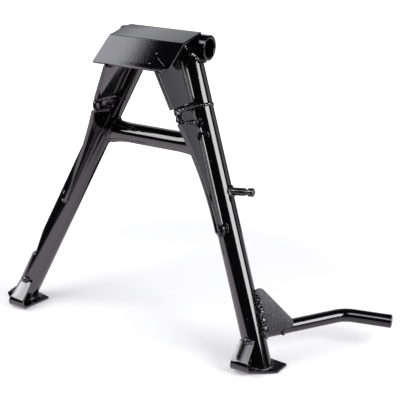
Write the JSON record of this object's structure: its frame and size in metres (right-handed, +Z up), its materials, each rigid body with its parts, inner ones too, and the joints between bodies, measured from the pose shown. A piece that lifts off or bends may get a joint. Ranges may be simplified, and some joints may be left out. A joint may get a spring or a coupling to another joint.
{
  "type": "motorcycle centre stand",
  "caption": "Welded tube and plate stand that swings on a cross bore at the top, with two splayed feet, a side foot lever and a spring peg.",
  "frame": {"origin": "centre of the pivot tube's bore, on the stand's middle plane", "axes": "+X along the bore towards the foot lever's side, +Y to the rear of the vehicle, +Z up, as the stand is when it bears the vehicle"},
  "size_m": [0.4319, 0.1354, 0.3179],
  "materials": {
    "gloss_black": "gloss powder coat",
    "weld_black": "gloss powder coat over rough weld"
  },
  "bodies": {
    "root": {"pivot_tube": "gloss_black", "cover_plate": "gloss_black", "left_upper_leg": "gloss_black", "right_upper_leg": "gloss_black", "left_lower_leg": "gloss_black", "right_lower_leg": "gloss_black", "left_upper_gusset": "gloss_black", "right_upper_gusset": "gloss_black", "left_link_plate": "gloss_black", "right_link_plate": "gloss_black", "left_lower_gusset": "gloss_black", "right_lower_gusset": "gloss_black", "cross_brace": "gloss_black", "left_foot_plate": "gloss_black", "right_foot_plate": "gloss_black", "foot_lever": "gloss_black", "lever_gusset": "gloss_black", "spring_peg": "gloss_black", "left_pivot_weld": "weld_black", "right_pivot_weld": "weld_black", "left_ring_weld": "weld_black", "right_ring_weld": "weld_black", "left_cover_weld": "weld_black", "right_cover_weld": "weld_black", "cover_back_weld": "weld_black", "left_upper_gusset_weld": "weld_black", "right_upper_gusset_weld": "weld_black", "left_link_weld": "weld_black", "right_link_weld": "weld_black", "left_lower_gusset_weld": "weld_black", "right_lower_gusset_weld": "weld_black", "left_brace_weld": "weld_black", "right_brace_weld": "weld_black", "left_tongue_weld": "weld_black", "right_tongue_weld": "weld_black", "left_foot_weld": "weld_black", "right_foot_weld": "weld_black", "lever_weld": "weld_black", "lever_gusset_weld": "weld_black", "peg_weld": "weld_black"}
  },
  "joints": []
}
